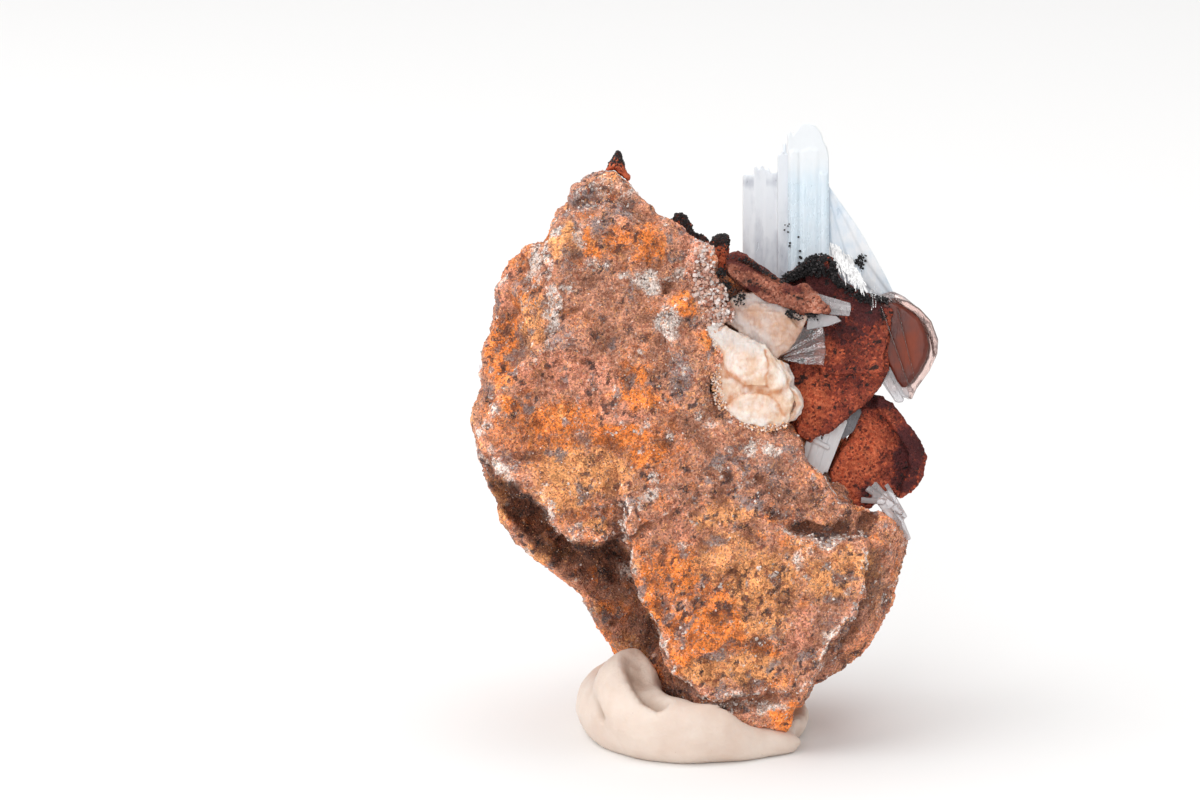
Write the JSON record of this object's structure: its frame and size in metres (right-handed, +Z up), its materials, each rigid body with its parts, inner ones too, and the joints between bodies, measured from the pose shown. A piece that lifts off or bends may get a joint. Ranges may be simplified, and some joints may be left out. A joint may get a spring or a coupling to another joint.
{
  "type": "blue barite specimen",
  "caption": "Mineral specimen: pale blue tabular barite crystals and rust-coated plates on orange sandy host rock, standing in a coil of white putty.",
  "frame": {"origin": "centre of the object's box, on the surface that the putty stands on", "axes": "+Z up, +X to the right of the face the picture shows, +Y away from the viewer"},
  "size_m": [0.0474, 0.0402, 0.0608],
  "materials": {
    "gossan": "matte",
    "rusty_coat": "matte",
    "black_crust": "matte",
    "blue_barite": "glossy",
    "clear_barite": "glossy",
    "grey_barite": "glossy",
    "amber_barite": "glossy",
    "peach_calcite": "satin",
    "cream_calcite": "satin",
    "putty": "matte"
  },
  "bodies": {
    "root": {"host_rock": "gossan", "rusty_plate_upper": "rusty_coat", "rusty_plate_lower": "rusty_coat", "rusty_blade_long": "rusty_coat", "rusty_plates_back": "rusty_coat", "dark_red_blade": "rusty_coat", "ridge_barite_blades": "black_crust", "black_tipped_blade": "black_crust", "blue_barite_sheaf": "blue_barite", "clear_barite_tip": "clear_barite", "clear_barite_fan": "clear_barite", "clear_barite_prism": "clear_barite", "corner_barite_blades": "clear_barite", "grey_barite_blade": "grey_barite", "amber_barite_fan": "amber_barite", "barite_rosette_top": "blue_barite", "barite_rosette_right": "blue_barite", "barite_rosette_left": "clear_barite", "barite_rosette_low": "clear_barite", "peach_calcite": "peach_calcite", "cream_calcite": "cream_calcite", "putty": "putty"}
  },
  "joints": []
}
